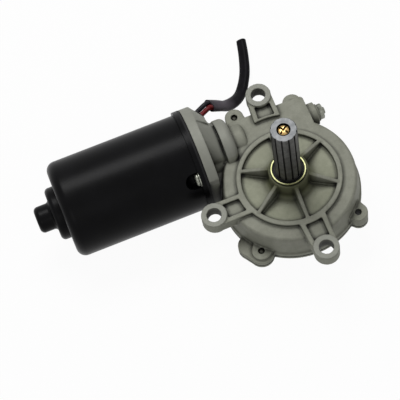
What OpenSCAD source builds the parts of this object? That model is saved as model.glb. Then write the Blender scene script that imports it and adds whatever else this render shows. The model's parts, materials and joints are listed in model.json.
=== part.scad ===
// Window lift motor: a worm gearbox with a splined output shaft, driven by a
// brushed motor in a deep-drawn can.
// The origin is where the output shaft leaves its hub. +Z runs out along the
// shaft, +X runs from the motor to the gearbox, and the motor lies along X.

/* [Output shaft] */
// Diameter over the splines
shaft_d = 16; // [14:0.5:18]
// Length that stands out of the hub
shaft_out = 52.5; // [35:0.5:65]
// Number of grooves between the splines
groove_count = 12; // [8:1:14]
// Width of one groove
groove_w = 1; // [0.6:0.1:1.2]
// Depth of one groove
groove_depth = 0.9; // [0.5:0.1:1.3]
// Bevel round the shaft's tip
tip_bevel = 0.5; // [0.2:0.1:1]
// Diameter of the lower journal, in the rear cover
lower_journal_d = 12; // [10:0.5:13]
// Diameter of the recess for the end screw's head
tip_recess_d = 8.4; // [7.8:0.1:9.4]
// Depth of the recess for the end screw's head
tip_recess_depth = 3.4; // [2.8:0.1:5]
// Diameter of the end screw's thread
end_screw_d = 5; // [4:0.5:6]
// Height of the end screw's head
end_screw_head_h = 2.4; // [1.8:0.1:2.7]

/* [Gearbox case] */
// Height of the hub above the ears' mounting faces
hub_above_faces = 10; // [7:0.5:12]
// Height of the mounting faces above the rib tops
face_above_ribs = 1; // [0.4:0.1:1.5]
// Height of the ribs above the front plate
rib_h = 2.5; // [1.5:0.1:3.5]
// Radius of the round case at the front shoulder
case_r = 41.5; // [40.5:0.5:44]
// How much wider the case is at its base, for draft
case_draft = 1.5; // [0.5:0.1:2.5]
// Height of the case from front plate to base
case_h = 20.5; // [19.5:0.5:24]
// Rounding of the case's front shoulder
shoulder_r = 2; // [1:0.5:3]
// Thickness of the front plate
plate_t = 3; // [2.4:0.1:3.2]
// Thickness of the flange round the base
base_flange_t = 3.5; // [2.5:0.5:5]
// Inner radius of the round rib
ring_r = 29.6; // [27:0.2:31]
// Width of the round rib
ring_w = 3; // [2:0.1:4]
// Number of radial ribs
spoke_count = 6; // [4:1:8]
// Thickness of one radial rib
spoke_w = 2.2; // [1.4:0.1:3]
// Wall of the hub round the bronze bush
hub_wall = 1.6; // [1.2:0.1:2.5]
// Fillet where the hub meets the plate
hub_fillet = 3; // [1.5:0.5:4]
// Far end of the worm block, from the shaft's axis
block_end = 28.5; // [27:0.5:31]
// Thickness of the worm block beyond the worm's axis
block_back = 10.5; // [10:0.5:13]

/* [Mounting ears] */
// Diameter of the three mounting holes
ear_hole_d = 9; // [8:0.1:10]
// Outer radius of an ear's boss
ear_boss_r = 8; // [7.5:0.1:9]
// Height of an ear's boss
ear_boss_h = 9.5; // [7:0.5:12]
// Width of the two ribs along an arm
arm_rib_w = 3; // [2.4:0.1:4.4]
// Distance of the far ear's hole from the shaft's axis
far_ear_reach = 59.7; // [58:0.1:63]
// Distance of the motor-side ear's hole from the shaft's axis
side_ear_reach = 52.1; // [51:0.1:56]
// Distance of the near ear's hole from the shaft's axis
near_ear_reach = 52.5; // [51:0.1:56]

/* [Cover lugs] */
// Outer radius of a lug
lug_r = 6; // [5.5:0.1:7]
// Height of the lug whose hole stays open
lug_h = 9; // [6:0.5:11]
// Height of the lugs that take a screw
screwed_lug_h = 5.4; // [4.6:0.1:6.5]
// Diameter of the screws and of the tapped holes
cover_screw_d = 4; // [3:0.5:4.5]
// Clearance of the screws in the cover's holes, on the radius
cover_screw_slack = 0.25; // [0.1:0.05:0.4]
// Diameter of a cover screw's head
cover_head_d = 7.8; // [7:0.1:9]
// Height of a cover screw's head
cover_head_h = 2.8; // [2:0.1:3.5]

/* [Rear cover] */
// Thickness of the gasket
gasket_t = 0.5; // [0.3:0.1:1]
// Thickness of the cover plate
cover_t = 2.5; // [2:0.1:3.5]
// Height of the pressed plateau
plateau_h = 1.5; // [1:0.1:2]
// Outer radius of the cover's bearing boss
cover_boss_r = 12; // [11:0.5:14]
// Length of the lower bush
lower_bush_len = 5.5; // [4:0.5:7]
// Wall of the lower bush
lower_bush_wall = 2; // [1.5:0.1:2.5]

/* [Hub parts] */
// Outer diameter of the bronze bush in the hub
upper_bush_d = 21.5; // [21:0.1:23]
// Depth of the seal's seat in the bush
seal_seat_depth = 4; // [3:0.1:5]
// Wall of the bush round the seal
seal_seat_wall = 0.7; // [0.5:0.1:0.9]
// Depth of the seal below the rim of the bush
seal_sunk = 1.6; // [0.5:0.1:2]
// Step from the journal down to the splines, on the radius
journal_step = 0.2; // [0.15:0.05:0.3]
// Running clearance of journals in their bushes, on the radius
running_gap = 0.05; // [0.03:0.01:0.08]
// Thickness of the thrust washer on the wheel
washer_t = 1; // [0.8:0.1:1.1]
// Radius of the thrust washer
washer_r = 13; // [12:0.5:14]

/* [Worm drive] */
// Module of the teeth
tooth_module = 1.25; // [1.2:0.01:1.3]
// Number of teeth on the wheel
wheel_teeth = 54; // [53:1:55]
// Pitch radius of the worm
worm_pitch_r = 5.75; // [5.6:0.05:6]
// Pressure angle of the flanks
pressure_angle = 20; // [16:1:22]
// Play taken off each flank
flank_play = 0.12; // [0.1:0.01:0.16]
// Turns of the worm's thread
worm_turns = 6; // [5:1:7]
// Width of the wheel's rim
wheel_w = 10; // [8:0.5:11]
// Thickness of the wheel's web
web_t = 5; // [3:0.5:7]
// Radius of the wheel's hub
wheel_hub_r = 14; // [13.5:0.5:16]
// Number of holes in the wheel's web
web_holes = 6; // [4:1:6]
// Distance of the worm's axis below the front plate
worm_below_plate = 9.5; // [9.3:0.1:10]

/* [Motor] */
// Outer diameter of the can
can_d = 62; // [61:0.5:64]
// Wall of the can
can_wall = 2.5; // [2:0.1:2.8]
// Length of the can from its rim to its rear face
can_len = 85.5; // [80:0.5:95]
// Rounding of the can's rear edge
can_round = 6; // [4:0.5:8]
// How far the rim stands out past the can, on the radius
rim_step = 1.8; // [1.5:0.1:2.2]
// Thickness of the rim
rim_t = 2.8; // [2.4:0.1:4]
// Thickness of the motor gasket
motor_gasket_t = 1.3; // [1:0.1:2.5]
// Radius of the disc on the can's rear face
rear_disc_r = 17; // [15:0.5:19]
// Height of that disc
rear_disc_h = 6; // [4:0.5:8]
// Radius of the bearing nub
nub_r = 8.5; // [8:0.1:10]
// Length of the bearing nub
nub_len = 10.5; // [9:0.5:13]
// Radius of the armature shaft
rotor_shaft_r = 5; // [4.6:0.1:5.2]
// Radius of its end journals
rotor_journal_r = 3.8; // [3.4:0.1:4]
// Length of the armature's core
core_len = 48; // [40:1:50]
// Air gap between the core and the magnets
air_gap = 0.6; // [0.5:0.1:0.9]
// Thickness of the magnets
magnet_t = 5.6; // [4.6:0.1:5.8]
// Number of slots in the core
slot_count = 10; // [8:1:12]
// Radius of the commutator
commutator_r = 11; // [10:0.5:12]
// Length of the commutator
commutator_len = 14; // [12:1:15]

/* [Motor flange] */
// Place of the flange's face along the worm's axis
flange_x = -47.4; // [-48.2:0.1:-46.6]
// Radius of the cast flange
flange_r = 32.7; // [32:0.1:34]
// Thickness of the cast flange
flange_t = 6.8; // [6.2:0.1:7.6]
// How far the flange reaches towards the near side
flange_cut = 27; // [26:0.5:30]
// Radius of the neck
neck_r = 18.2; // [17.5:0.1:18.5]
// Radius of the collar round the front bearing
collar_r = 18.8; // [18.6:0.1:20]
// Radius of the core that is left in the neck's pocket
neck_core_r = 11.4; // [11:0.1:13]
// How far towards the near side of the worm's axis the pocket starts
neck_pocket_start = 1.5; // [0.5:0.5:4]
// How far towards the far side of the worm's axis the cone starts
cone_start = 10; // [7:0.5:12]
// Radius of the neck beside the cone
neck_waist_r = 17.4; // [17:0.1:18]
// Thickness of the web that joins flange and case under the pocket
neck_web_t = 4; // [3:0.5:5]
// Outer radius of the front bearing bush
front_bush_r = 8.8; // [8.2:0.1:9.4]
// Radius on which the can screws sit
can_screw_r = 28.8; // [28.6:0.1:29.4]
// Angle of the can screws round the motor
can_screw_angle = 140; // [130:1:150]
// Diameter of the can screws
can_screw_d = 5; // [4:0.5:5]
// Diameter of a can screw's head
can_head_d = 8.8; // [8:0.1:9.4]
// Height of a can screw's head
can_head_h = 3.2; // [2.5:0.1:3.6]
// Radius of the dimple round a can screw
dimple_r = 5.6; // [5.2:0.1:6]
// Length of the dimple, without its round end
dimple_len = 4; // [3.8:0.1:6]

/* [Adjuster] */
// Radius of the cast boss
adjuster_boss_r = 7.4; // [7:0.1:8.5]
// Length of the cast boss
adjuster_boss_len = 5; // [4:0.1:7]
// Radius of the step on the boss's end
adjuster_step_r = 5.6; // [5.2:0.1:6.4]
// Length of that step
adjuster_step_len = 1.4; // [0.8:0.1:2]
// Diameter of the adjusting screw
adjuster_d = 5; // [4:0.5:6]
// Width across the lock nut's flats
nut_flats = 8.6; // [8:0.1:9.6]
// Height of the lock nut
nut_h = 3; // [2.5:0.1:4]
// How far the screw stands out of the nut
adjuster_out = 1.2; // [1:0.1:3]
// Radius of the thrust ball
ball_r = 2.2; // [1.8:0.1:2.3]

/* [Cable] */
// Diameter of one lead
lead_d = 3.2; // [2.4:0.1:3.4]
// Width of the sleeve at its mouth
sleeve_mouth_w = 9.4; // [8:0.1:9.8]
// Width of the sleeve at its cut end
sleeve_end_w = 6.4; // [5.6:0.1:7]
// Thickness of the sleeve
sleeve_t = 4.8; // [4.2:0.1:4.8]
// Radius of the grommet in the flange's slope
grommet_r = 5; // [4.6:0.1:5.4]
// How far the grommet stands out of the slope
grommet_out = 1.8; // [1:0.1:2.4]

/* [Hidden] */
$fn = 96;
eps = 0.01;
// Sealing or fitting gap between pieces that are laid into each other
fit_gap = 0.1;
// Gap left where a piece rests against a curved or moving one
seat_gap = 0.3;
// Room that the base flange and the cover leave round the neck
neck_room = 1;
// Width of the sealing face beside the neck, and thickness of the floor there
neck_rim = 2;
neck_floor_t = 3;

// Levels along the output shaft
shaft_r = shaft_d / 2;
journal_r = shaft_r + journal_step;
lower_journal_r = lower_journal_d / 2;
face_z = -hub_above_faces;
rib_top_z = face_z - face_above_ribs;
plate_z = rib_top_z - rib_h;
ceiling_z = plate_z - plate_t;
base_z = plate_z - case_h;
base_r = case_r + case_draft;
cover_top_z = base_z - gasket_t;
cover_z = cover_top_z - cover_t;
motor_z = plate_z - worm_below_plate;

// Worm drive
tooth_pitch = PI * tooth_module;
wheel_pitch_r = tooth_module * wheel_teeth / 2;
tooth_tip = tooth_module;
tooth_root = 1.2 * tooth_module;
wheel_tip_r = wheel_pitch_r + tooth_tip;
wheel_root_r = wheel_pitch_r - tooth_root;
worm_tip_r = worm_pitch_r + tooth_tip;
worm_root_r = worm_pitch_r - tooth_root;
lead_angle = atan(tooth_module / (2 * worm_pitch_r));
motor_y = wheel_pitch_r + worm_pitch_r;
cavity_r = wheel_tip_r + 1.3;
thread_half = worm_turns * tooth_pitch / 2;
tunnel_r = worm_tip_r + 0.5;
block_far_y = motor_y + block_back;
wheel_top_z = motor_z + wheel_w / 2;
wheel_bottom_z = motor_z - wheel_w / 2;

// Hub
upper_bush_r = upper_bush_d / 2;
seal_seat_r = upper_bush_r - seal_seat_wall;
hub_r = upper_bush_r + hub_wall;
hub_top_z = -1.2;
upper_bush_z = ceiling_z + 0.2;
washer_z = upper_bush_z - seat_gap;
wheel_hub_top_z = washer_z - washer_t;
wheel_hub_bottom_z = wheel_bottom_z - 2.2;
clip_t = 1.2;
clip_z = wheel_hub_bottom_z;
seat_bottom_z = clip_z - clip_t - 0.8;
lower_bush_z = cover_top_z - 0.8;
lower_bush_r = lower_journal_r + running_gap + lower_bush_wall;
shaft_end_z = lower_bush_z - lower_bush_len;
cover_floor_z = shaft_end_z - seat_gap;
cover_boss_z = cover_floor_z - 2;

// Mounting ears: hole, root of the arm, root radius and where the arm starts
far_ear = far_ear_reach * [cos(86.9), sin(86.9)];
side_ear = side_ear_reach * [cos(186.8), sin(186.8)];
near_ear = near_ear_reach * [cos(273.1), sin(273.1)];
ear_bottom_z = face_z - ear_boss_h;
arm_step = 0.2;
link_step = 0.1;

// Cover lugs, with the point of the case that carries each
lug_front = [31.5, -32.6];
lug_left = [-32.1, -31.6];
lug_far_left = [-14.2, motor_y + 20.7];
lug_far_right = [23.3, motor_y + 16];
lug_root_r = lug_r + 2;
lug_roots = [[26, -24.5], [-25, -24.5], [-14.2, motor_y + 6],
    [block_end - lug_root_r - 0.8, motor_y + 4]];
lugs = [lug_front, lug_left, lug_far_left, lug_far_right];
lug_heights = [lug_h, screwed_lug_h, screwed_lug_h, screwed_lug_h];
screwed_lugs = [lug_left, lug_far_left, lug_far_right];
cover_screw_r = cover_screw_d / 2;
cover_screw_top_z = base_z + screwed_lug_h - 1.2;

// Places along the worm's axis, as x
rim_front_x = flange_x - motor_gasket_t;
rim_back_x = rim_front_x - rim_t;
can_r = can_d / 2;
rim_r = can_r + rim_step;
can_rear_x = rim_back_x - can_len;
rear_disc_x = can_rear_x - rear_disc_h;
nub_x = rear_disc_x - nub_len;
flange_front_x = flange_x + flange_t;
cone_end_x = flange_front_x + 6.6;
cone_end_r = flange_r - 8.7;
neck_x = cone_end_x + 2;
collar_x = neck_x + 1.6;
collar_end_x = collar_x + 8;
collar_round = 4;
pocket_end_x = collar_end_x - 0.6;
bulge_end_x = collar_end_x + 8.6;
bulge_r = 12.6;
chamber_r = can_screw_r - can_screw_d / 2 - 0.8;
plate_depth = 2.2;
plate_x = flange_x + plate_depth;
plate_thick = 2.2;
chamber_end_x = plate_x + plate_thick + seat_gap;
can_screw_grip = 4.2;
end_bush_x = block_end - 7.5;
end_bush_len = 7;
end_bush_r = rotor_journal_r + 2.5;
screw_hole_x = end_bush_x + end_bush_len;
boss_end_x = block_end + adjuster_boss_len;
nut_x = boss_end_x + adjuster_step_len;
adjuster_r = adjuster_d / 2;
nut_end_x = nut_x + nut_h;
adjuster_end_x = nut_end_x + adjuster_out;

// Inside the motor
rotor_front_x = end_bush_x - 1;
rotor_tip_x = screw_hole_x;
ball_x = rotor_tip_x + seat_gap + ball_r;
adjuster_start_x = ball_x + ball_r;
magnet_out_r = can_r - can_wall - fit_gap;
magnet_in_r = magnet_out_r - magnet_t;
core_r = magnet_in_r - air_gap;
core_front_x = rim_back_x - 14.5;
core_rear_x = core_front_x - core_len;
winding_front = 4;
winding_rear = 6;
magnet_front_x = core_front_x + 2;
magnet_rear_x = core_rear_x - 2;
commutator_front_x = rim_front_x + 1.8;
commutator_rear_x = commutator_front_x - commutator_len;
rotor_rear_x = can_rear_x + can_wall;
nub_floor_x = nub_x + can_wall;
nub_bore_r = nub_r - can_wall;
pad_t = 1.4;
rotor_end_x = nub_floor_x + pad_t + seat_gap;
rear_bush_x = rotor_end_x + 0.5;
rear_bush_len = 8;
front_bush_len = 8.5;
front_bush_x = pocket_end_x - front_bush_len;

// Brush gear
brush_angle = can_screw_angle - 90;
brush_w = 5;
brush_len = 8;
brush_x = commutator_rear_x + 3;
brush_in_r = commutator_r + 0.2;
brush_out_r = brush_in_r + 7;
holder_wall = 1.2;
holder_in_r = commutator_r + 1.5;
holder_out_r = chamber_r - 1;
holder_end_t = 1.2;
spring_r = 1.9;
spring_wire_r = 0.3;

// Cable: the sleeve's centreline, its rings and the leads' routes
sleeve_route = [[-26, 72, -24], [-20, 74, -32], [-14, 76.5, -41], [-7, 81, -48],
    [-1.5, 86.5, -52.4], [3.5, 94, -53.4], [7.5, 102, -53.4], [11, 113, -53.4],
    [13.5, 124, -53.4]];
rings_per_step = 3;
cone_slope = atan((flange_r - cone_end_r) / (cone_end_x - flange_front_x));
grommet_x = flange_front_x + 4.1;
grommet_y = motor_y + flange_r - (grommet_x - flange_front_x) * tan(cone_slope);
grommet_tilt = 90 - cone_slope;
grommet_neck_r = grommet_r - 0.8;
grommet_bore = 9;
lead_gap = 3.6;

// Shapes that are used again

module disc(r, z0, z1) translate([0, 0, z0]) cylinder(h = z1 - z0, r = r);

module tube(r_out, r_in, z0, z1) {
    difference() {
        disc(r_out, z0, z1);
        disc(r_in, z0 - 1, z1 + 1);
    }
}

// Puts children on the worm's axis: their z runs along +X, their y along +Y
module on_motor() translate([0, motor_y, motor_z]) rotate([0, 90, 0]) children();

// Turns children round the worm's axis, from +Y towards +Z
module at_angle(a) rotate([0, 0, a]) children();

// Two circles joined by lines a little inside their outer tangents
module link(p, rp, q, rq) {
    v = q - p;
    t = atan2(v[1], v[0]);
    a = acos((rp - rq) / norm(v));
    in_p = rp - link_step;
    in_q = rq - link_step;
    translate(p) circle(rp);
    translate(q) circle(rq);
    polygon([
        p + in_p * [cos(t + a), sin(t + a)],
        p + in_p * [cos(t - a), sin(t - a)],
        q + in_q * [cos(t - a), sin(t - a)],
        q + in_q * [cos(t + a), sin(t + a)]
    ]);
}

// A rectangle with round corners, from one corner to the other
module round_rect(lo, hi, r) {
    translate([lo[0] + r, lo[1]]) square([hi[0] - lo[0] - 2 * r, hi[1] - lo[1]]);
    translate([lo[0], lo[1] + r]) square([hi[0] - lo[0], hi[1] - lo[1] - 2 * r]);
    for (x = [lo[0] + r, hi[0] - r], y = [lo[1] + r, hi[1] - r])
        translate([x, y]) circle(r);
}

// A bar of a revolved profile: radius r from x0 to x1, its far edge rounded
module rounded_bar(r, x0, x1, round_r) {
    translate([0, x0]) square([r, x1 - x0 - round_r]);
    translate([0, x0]) square([r - round_r, x1 - x0]);
    translate([r - round_r, x1 - round_r]) circle(round_r);
}

// Points on a smooth curve through a route
function spline_point(p, i, t) =
    let (
        n = len(p) - 1,
        a = p[max(i - 1, 0)],
        b = p[i],
        c = p[min(i + 1, n)],
        d = p[min(i + 2, n)]
    )
    (2 * b + (c - a) * t + (2 * a - 5 * b + 4 * c - d) * t * t
        + (3 * b - a - 3 * c + d) * t * t * t) / 2;
function smooth_route(p, steps) = [
    for (i = [0:len(p) - 2], j = [0:steps - 1]) spline_point(p, i, j / steps),
    p[len(p) - 1]
];
function tangent_at(p, i) =
    let (v = p[min(i + 1, len(p) - 1)] - p[max(i - 1, 0)]) v / norm(v);

// One ring of a swept tube, its width level with the ground
function sweep_ring(c, t, half_w, half_t, sides) =
    let (
        side = cross([0, 0, 1], t) / norm(cross([0, 0, 1], t)),
        up = cross(t, side)
    )
    [for (k = [0:sides - 1])
        c + half_w * cos(360 * k / sides) * side + half_t * sin(360 * k / sides) * up];

// A tube swept along a route, as wide and thick as the two ends say
module swept_tube(route, w0, w1, thick0, thick1, sides) {
    n = len(route);
    points = [
        for (i = [0:n - 1])
            let (s = i / (n - 1))
            each sweep_ring(route[i], tangent_at(route, i),
                (w0 + (w1 - w0) * s) / 2, (thick0 + (thick1 - thick0) * s) / 2, sides)
    ];
    sides_faces = [
        for (i = [0:n - 2], k = [0:sides - 1])
            let (a = i * sides + k, b = i * sides + (k + 1) % sides)
            [a, a + sides, b + sides, b]
    ];
    start_cap = [for (k = [0:sides - 1]) k];
    end_cap = [for (k = [sides - 1:-1:0]) (n - 1) * sides + k];
    polyhedron(points, concat([start_cap, end_cap], sides_faces), convexity = 6);
}

// Gearbox housing

module case_profile() {
    polygon([
        [0, base_z],
        [base_r, base_z],
        [case_r, plate_z - shoulder_r],
        [case_r - shoulder_r, plate_z],
        [0, plate_z]
    ]);
    translate([case_r - shoulder_r, plate_z - shoulder_r]) circle(shoulder_r);
}

module block_outline() {
    round_rect([collar_end_x - 1, 12], [block_end, block_far_y], 2.5);
}

// Outline shared by the base flange, the gasket and the rear cover
module base_outline() {
    difference() {
        union() {
            circle(base_r + 0.6);
            block_outline();
            for (i = [0:len(lugs) - 1]) link(lugs[i], lug_r, lug_roots[i], lug_root_r);
            // The flange is widened round the left lug
            link(lug_left + [-4.9, 7.1], lug_r + 1.5, lug_left, lug_r + 1.8);
        }
        // Room for the neck and the flange, which reach below the base
        polygon([
            [-60, motor_y - flange_cut - neck_room],
            [cone_end_x - 2, motor_y - flange_cut - neck_room],
            [neck_x, motor_y - collar_r - neck_room],
            [collar_end_x + neck_room, motor_y - collar_r - neck_room],
            [collar_end_x + neck_room, motor_y + 40],
            [-60, motor_y + 40]
        ]);
    }
}

// The wheel's cavity where it opens at the base, short of the neck
module cavity_mouth() {
    difference() {
        circle(cavity_r);
        translate([-cavity_r, motor_y - collar_r - neck_room - neck_rim])
            square([cavity_r + collar_end_x + neck_room + neck_rim, 30]);
    }
}

module lug_posts() {
    for (i = [0:len(lugs) - 1])
        translate([0, 0, base_z])
            linear_extrude(lug_heights[i]) link(lugs[i], lug_r, lug_roots[i], lug_root_r);
}

// An arm's sides run into its boss a little inside the boss's own circle
module arm_outline(hole, root, root_r, inset) {
    link(hole, ear_boss_r - arm_step - inset, root, root_r - inset);
}

// An ear: boss, arm with two ribs, and the pocket between them
module ear(hole, root, root_r, pocket_start) {
    difference() {
        union() {
            translate([0, 0, ear_bottom_z])
                linear_extrude(rib_top_z - ear_bottom_z)
                    difference() {
                        arm_outline(hole, root, root_r, 0);
                        circle(pocket_start - arm_rib_w * 0.5);
                    }
            translate(hole) disc(ear_boss_r, ear_bottom_z, face_z);
        }
        translate([0, 0, plate_z])
            linear_extrude(rib_h + 1)
                difference() {
                    arm_outline(hole, root, root_r, arm_rib_w);
                    circle(pocket_start);
                    translate(hole) circle(ear_boss_r + 0.4);
                }
    }
}

module ears() {
    ear(far_ear, [2, motor_y - 5.5], 8.8, motor_y + 5);
    ear(side_ear, [-31, -5.9], 7.6, ring_r + ring_w + 1.2);
    ear(near_ear, [2.4, -32], 8.6, ring_r + ring_w + 1.2);
}

module ear_holes() {
    for (p = [far_ear, side_ear, near_ear])
        translate(p) disc(ear_hole_d / 2, ear_bottom_z - 1, face_z + 1);
}

// Hub with its fillet, the round rib and the radial ribs
module front_ribs() {
    rotate_extrude() {
        translate([0, plate_z - 1]) square([hub_r, hub_top_z - plate_z + 1]);
        translate([hub_r, plate_z - eps]) difference() {
            translate([-1, 0]) square([hub_fillet + 1, hub_fillet]);
            translate([hub_fillet, hub_fillet]) circle(hub_fillet);
        }
    }
    tube(ring_r + ring_w, ring_r, plate_z - 1, rib_top_z);
    for (i = [0:spoke_count - 1])
        rotate(30 + i * 360 / spoke_count)
            rotate([90, 0, 0])
                translate([0, 0, -spoke_w / 2])
                    linear_extrude(spoke_w)
                        polygon([
                            [upper_bush_r + hub_wall / 2, plate_z - 1],
                            [ring_r + ring_w / 2, plate_z - 1],
                            [ring_r + ring_w / 2, rib_top_z],
                            [hub_r, hub_top_z - 1.5],
                            [upper_bush_r + hub_wall / 2, hub_top_z - 1.5]
                        ]);
}

module neck_profile() {
    polygon([
        [0, flange_x],
        [flange_r - 0.6, flange_x],
        [flange_r, flange_x + 0.6],
        [flange_r, flange_front_x],
        [cone_end_r, cone_end_x],
        [neck_r + 0.6, neck_x - 0.5],
        [neck_r, neck_x],
        [neck_r, collar_x],
        [0, collar_x]
    ]);
    translate([0, collar_x]) square([collar_r - 0.8, 2]);
    translate([collar_r - 0.8, collar_x + 0.8]) circle(0.8);
    rounded_bar(collar_r, collar_x + 0.8, collar_end_x, collar_round);
    rounded_bar(bulge_r, collar_x, bulge_end_x, 3);
}

module neck() {
    difference() {
        on_motor() rotate_extrude() neck_profile();
        // The near side of the flange is cut off straight
        translate([flange_x - 1, motor_y - flange_cut - 10, motor_z - 40])
            cube([14, 10, 80]);
        // The bulge ends level with the base
        translate([collar_end_x, motor_y - 40, base_z - 20])
            cube([60, 80, 20]);
        neck_pocket();
    }
}

// Behind the flange the near side is turned down, first to a waist and then to a core
module neck_pocket() {
    turned_down(neck_waist_r, motor_y + cone_start);
    turned_down(neck_core_r, motor_y - neck_pocket_start);
}

module turned_down(r, far_y) {
    intersection() {
        on_motor() tube(flange_r + 5, r, flange_front_x, collar_x);
        translate([flange_front_x - 1, far_y - 80, motor_z - 60])
            cube([collar_x - flange_front_x + 2, 80, 120]);
    }
}

// A web closes the wedge between flange, neck and case
module neck_web() {
    translate([flange_front_x - 1, motor_y - flange_cut + 0.5, base_z])
        cube([collar_x - flange_front_x + 1, flange_cut - 0.5, neck_web_t]);
}

// Everything on the worm's line is bored in one go
module worm_line_bore() {
    on_motor() rotate_extrude() polygon([
        [0, flange_x - 1],
        [chamber_r, flange_x - 1],
        [chamber_r, chamber_end_x],
        [front_bush_r, chamber_end_x],
        [front_bush_r, pocket_end_x],
        [tunnel_r, pocket_end_x],
        [tunnel_r, end_bush_x],
        [end_bush_r, end_bush_x],
        [end_bush_r, screw_hole_x],
        [adjuster_r, screw_hole_x],
        [adjuster_r, nut_x + 1],
        [0, nut_x + 1]
    ]);
}

module at_grommet() {
    translate([grommet_x, grommet_y, motor_z])
        rotate([0, 0, grommet_tilt - 90])
            rotate([-90, 0, 0])
                children();
}

module can_screw_places() {
    for (a = [can_screw_angle, can_screw_angle + 180])
        on_motor() at_angle(a) translate([0, can_screw_r, 0]) children();
}

module gear_housing() {
    color("#8a8a7d") difference() {
        union() {
            rotate_extrude() case_profile();
            translate([0, 0, base_z])
                linear_extrude(case_h) block_outline();
            translate([0, 0, base_z])
                linear_extrude(base_flange_t) base_outline();
            lug_posts();
            neck();
            neck_web();
            on_motor() disc(adjuster_boss_r, block_end - 2, boss_end_x);
            on_motor() disc(adjuster_step_r, block_end - 2, nut_x);
            front_ribs();
            ears();
        }
        // Room for the wheel, closed by a floor beside the neck
        disc(cavity_r, base_z + neck_floor_t, ceiling_z);
        translate([0, 0, base_z - 1])
            linear_extrude(neck_floor_t + 2) cavity_mouth();
        disc(upper_bush_r, ceiling_z - 1, 1);
        worm_line_bore();
        ear_holes();
        for (i = [0:len(lugs) - 1]) translate(lugs[i])
            disc(cover_screw_r, base_z - 1, base_z + lug_heights[i] + 1);
        can_screw_places() disc(can_screw_d / 2, flange_x - 1, flange_x + can_screw_grip);
        at_grommet() disc(grommet_neck_r, -grommet_bore, 3);
    }
}

// Rear cover and what seals and holds it

module cover_gasket() {
    color("#2b2d2a") translate([0, 0, cover_top_z])
        linear_extrude(gasket_t) difference() {
            base_outline();
            cavity_mouth();
            for (p = lugs) translate(p) circle(cover_screw_r + cover_screw_slack);
        }
}

module rear_cover() {
    color("#83847a") difference() {
        union() {
            translate([0, 0, cover_z]) linear_extrude(cover_t) base_outline();
            translate([0, 0, cover_z - plateau_h])
                cylinder(h = plateau_h + 1, r1 = cavity_r - 5, r2 = cavity_r - 3.5);
            disc(cover_boss_r, cover_boss_z, cover_top_z);
            for (i = [0:5]) rotate(i * 60)
                translate([0, -1, cover_z - plateau_h - 1.5])
                    cube([cavity_r - 8, 2, plateau_h + 2]);
        }
        disc(lower_bush_r, shaft_end_z, cover_top_z + 1);
        disc(lower_journal_r, cover_floor_z, cover_top_z + 1);
        for (p = lugs) translate(p)
            disc(cover_screw_r + cover_screw_slack, cover_z - 1, cover_top_z + 1);
    }
}

module cover_screws() {
    color("#b9bab8") for (p = screwed_lugs) translate(p) {
        disc(cover_head_d / 2, cover_z - cover_head_h, cover_z);
        disc(cover_screw_r, cover_z - 1, cover_screw_top_z);
    }
}

module lower_bush() {
    color("#b08d57") tube(lower_bush_r, lower_journal_r + running_gap, shaft_end_z, lower_bush_z);
}

// Hub

module upper_bush() {
    color("#c9bd74") difference() {
        disc(upper_bush_r, upper_bush_z, 0);
        disc(journal_r + running_gap, upper_bush_z - 1, 1);
        disc(seal_seat_r, -seal_seat_depth, 1);
    }
}

module shaft_seal() {
    color("#141414") tube(seal_seat_r, journal_r + running_gap, -seal_seat_depth, -seal_sunk);
}

// Output shaft and what turns with it

module output_shaft() {
    color("#55565a") difference() {
        rotate_extrude() polygon([
            [0, shaft_end_z],
            [lower_journal_r - 0.4, shaft_end_z],
            [lower_journal_r, shaft_end_z + 0.4],
            [lower_journal_r, seat_bottom_z],
            [shaft_r, seat_bottom_z],
            [shaft_r, clip_z - clip_t],
            [shaft_r - 0.8, clip_z - clip_t],
            [shaft_r - 0.8, clip_z],
            [shaft_r, clip_z],
            [shaft_r, wheel_hub_top_z],
            [journal_r, wheel_hub_top_z],
            [journal_r, 0],
            [shaft_r, 0],
            [shaft_r, shaft_out - tip_bevel],
            [shaft_r - tip_bevel, shaft_out],
            [0, shaft_out]
        ]);
        for (i = [0:groove_count - 1])
            rotate(i * 360 / groove_count)
                translate([shaft_r - groove_depth, -groove_w / 2, 0])
                    cube([groove_depth + 1, groove_w, shaft_out + 1]);
        disc(tip_recess_d / 2, shaft_out - tip_recess_depth, shaft_out + 1);
        disc(end_screw_d / 2, shaft_out - 20, shaft_out);
    }
}

module shaft_end_screw() {
    color("#c79a3c") {
        disc(tip_recess_d / 2 - 0.5, shaft_out - tip_recess_depth,
            shaft_out - tip_recess_depth + end_screw_head_h);
        disc(end_screw_d / 2, shaft_out - 18, shaft_out - tip_recess_depth + 1);
    }
}

// Axial section of one tooth or thread: half its width at a radial offset
function half_width(offset) =
    tooth_pitch / 4 - offset * tan(pressure_angle) - flank_play;

module tooth_section() {
    polygon([
        [-half_width(-tooth_root), -tooth_root - 0.5],
        [-half_width(-tooth_root), -tooth_root],
        [-half_width(tooth_tip), tooth_tip],
        [half_width(tooth_tip), tooth_tip],
        [half_width(-tooth_root), -tooth_root],
        [half_width(-tooth_root), -tooth_root - 0.5]
    ]);
}

// Each tooth is a straight prism that leans by the worm's lead angle
module wheel_rim() {
    intersection() {
        union() {
            disc(wheel_root_r, wheel_bottom_z - 1, wheel_top_z + 1);
            for (i = [0:wheel_teeth - 1])
                rotate(i * 360 / wheel_teeth)
                    translate([0, wheel_pitch_r, motor_z])
                        rotate([0, -lead_angle, 0])
                            translate([0, 0, -wheel_w / 2 - 1])
                                linear_extrude(wheel_w + 2) tooth_section();
        }
        disc(wheel_tip_r, wheel_bottom_z, wheel_top_z);
    }
}

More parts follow.
